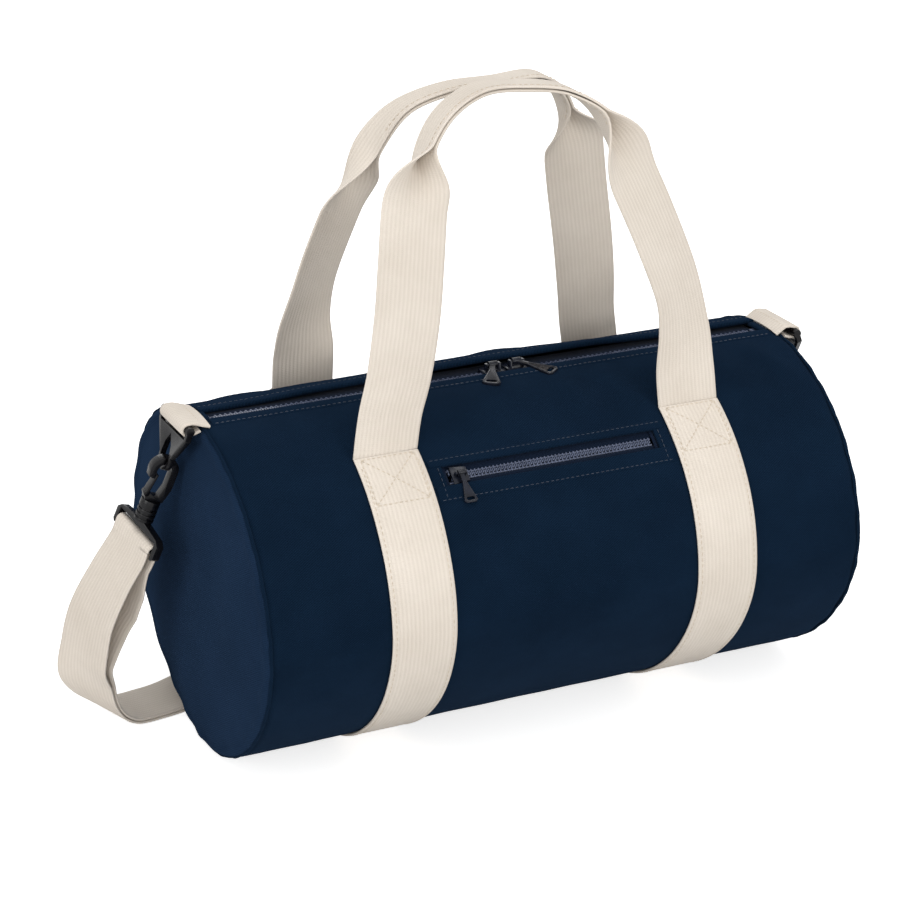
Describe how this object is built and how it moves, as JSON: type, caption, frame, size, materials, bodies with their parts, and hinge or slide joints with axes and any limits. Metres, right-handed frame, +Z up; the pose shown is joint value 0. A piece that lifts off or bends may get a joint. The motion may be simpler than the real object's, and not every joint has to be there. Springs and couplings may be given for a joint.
{
  "type": "barrel bag",
  "caption": "Soft barrel-shaped holdall with zip opening, webbing carry handles and bands, zip pocket on the front and detachable shoulder strap on snap hooks.",
  "frame": {"origin": "centre of the flat base, on the floor", "axes": "+X along the bag towards its right end, +Y to the rear, +Z up"},
  "size_m": [0.4952, 0.2267, 0.3706],
  "materials": {
    "navy_fabric": "woven polyester twill, dull",
    "lining": "thin plain-weave lining",
    "zip_tape": "fine herringbone tape",
    "zip_teeth": "moulded plastic, satin",
    "painted_metal": "dark lacquered metal, satin",
    "cream_webbing": "ribbed cotton webbing, matt",
    "black_plastic": "moulded acetal, satin"
  },
  "bodies": {
    "root": {"barrel_shell": "navy_fabric", "left_end_panel": "navy_fabric", "right_end_panel": "navy_fabric", "left_seam_binding": "lining", "right_seam_binding": "lining", "front_zip_tape": "zip_tape", "rear_zip_tape": "zip_tape", "front_zip_teeth": "zip_teeth", "rear_zip_teeth": "zip_teeth", "zip_end_stops": "zip_teeth", "pocket_lining": "lining", "pocket_upper_tape": "zip_tape", "pocket_lower_tape": "zip_tape", "pocket_upper_teeth": "zip_teeth", "pocket_lower_teeth": "zip_teeth", "pocket_end_tabs": "zip_tape", "left_band": "cream_webbing", "right_band": "cream_webbing", "left_ring_tab": "cream_webbing", "right_ring_tab": "cream_webbing", "shoulder_strap": "cream_webbing"},
    "left_slider": {"left_slider": "painted_metal"},
    "right_slider": {"right_slider": "painted_metal"},
    "left_pull": {"left_slider_pull": "painted_metal"},
    "right_pull": {"right_slider_pull": "painted_metal"},
    "pocket_slider": {"pocket_slider": "painted_metal"},
    "pocket_pull": {"pocket_pull": "painted_metal"},
    "front_handle": {"front_handle": "cream_webbing"},
    "rear_handle": {"rear_handle": "cream_webbing"},
    "left_ring": {"left_ring": "black_plastic"},
    "right_ring": {"right_ring": "black_plastic"},
    "left_base": {"left_strap_base": "black_plastic"},
    "right_base": {"right_strap_base": "black_plastic"},
    "left_hook": {"left_hook": "black_plastic"},
    "right_hook": {"right_hook": "black_plastic"},
    "left_gate": {"left_gate": "black_plastic"},
    "right_gate": {"right_gate": "black_plastic"},
    "adjuster": {"strap_adjuster": "black_plastic"}
  },
  "joints": [
    {"name": "left_slider_slide", "type": "slide", "parent": "root", "child": "left_slider", "axis": [-1, 0, 0], "range_m": [0, 0.155], "deforming": ["front_zip_teeth", "rear_zip_teeth"]},
    {"name": "right_slider_slide", "type": "slide", "parent": "root", "child": "right_slider", "axis": [1, 0, 0], "range_m": [0, 0.14]},
    {"name": "left_pull_swing", "type": "hinge", "parent": "left_slider", "child": "left_pull", "pos_m": [-0.0005, 0, 0.20232], "axis": [-1, 0, 0], "range_deg": [0, 164]},
    {"name": "right_pull_swing", "type": "hinge", "parent": "right_slider", "child": "right_pull", "pos_m": [0.0145, 0, 0.20232], "axis": [-1, 0, 0], "range_deg": [0, 164]},
    {"name": "pocket_slider_slide", "type": "slide", "parent": "root", "child": "pocket_slider", "axis": [1, 0, 0], "range_m": [0, 0.11], "deforming": ["pocket_upper_teeth", "pocket_lower_teeth"]},
    {"name": "pocket_pull_swing", "type": "hinge", "parent": "pocket_slider", "child": "pocket_pull", "pos_m": [-0.05625, -0.07647, 0.17349], "axis": [-1, 0, 0], "range_deg": [0, 170]},
    {"name": "front_handle_fold", "type": "hinge", "parent": "root", "child": "front_handle", "pos_m": [0, -0.06015, 0.185], "axis": [1, 0, 0], "range_deg": [0, 98]},
    {"name": "rear_handle_fold", "type": "hinge", "parent": "root", "child": "rear_handle", "pos_m": [0, 0.06015, 0.185], "axis": [-1, 0, 0], "range_deg": [0, 98]},
    {"name": "left_ring_swing", "type": "hinge", "parent": "root", "child": "left_ring", "pos_m": [-0.191, 0, 0.1992], "axis": [0, 1, 0], "range_deg": [0, 50], "deforming": ["shoulder_strap"]},
    {"name": "left_hook_turn", "type": "hinge", "parent": "left_ring", "child": "left_hook", "pos_m": [-0.20032, 0, 0.172], "axis": [0.3549, -0.1392, 0.9245], "range_deg": [-7, 7]},
    {"name": "left_base_swivel", "type": "hinge", "parent": "left_hook", "child": "left_base", "pos_m": [-0.21163, 0.00443, 0.14254], "axis": [0.3549, -0.1392, 0.9245], "range_deg": [-20, 20]},
    {"name": "left_gate_press", "type": "hinge", "parent": "left_hook", "child": "left_gate", "pos_m": [-0.21044, 0.00213, 0.15964], "axis": [0.0499, 0.9903, 0.1299], "range_deg": [0, 18], "stiffness_Nm_per_rad": 0.01, "springref_deg": -5.73},
    {"name": "right_ring_swing", "type": "hinge", "parent": "root", "child": "right_ring", "pos_m": [0.191, 0, 0.1992], "axis": [0, -1, 0], "range_deg": [0, 50]},
    {"name": "right_hook_turn", "type": "hinge", "parent": "right_ring", "child": "right_hook", "pos_m": [0.20032, 0, 0.172], "axis": [-0.3549, -0.1392, 0.9245], "range_deg": [-7, 7]},
    {"name": "right_base_swivel", "type": "hinge", "parent": "right_hook", "child": "right_base", "pos_m": [0.21163, 0.00443, 0.14254], "axis": [-0.3549, -0.1392, 0.9245], "range_deg": [-20, 20]},
    {"name": "right_gate_press", "type": "hinge", "parent": "right_hook", "child": "right_gate", "pos_m": [0.21044, 0.00213, 0.15964], "axis": [0.0499, -0.9903, -0.1299], "range_deg": [0, 18], "stiffness_Nm_per_rad": 0.01, "springref_deg": -5.73},
    {"name": "adjuster_slide", "type": "slide", "parent": "root", "child": "adjuster", "axis": [1, 0, 0], "range_m": [-0.1, 0.08]}
  ]
}
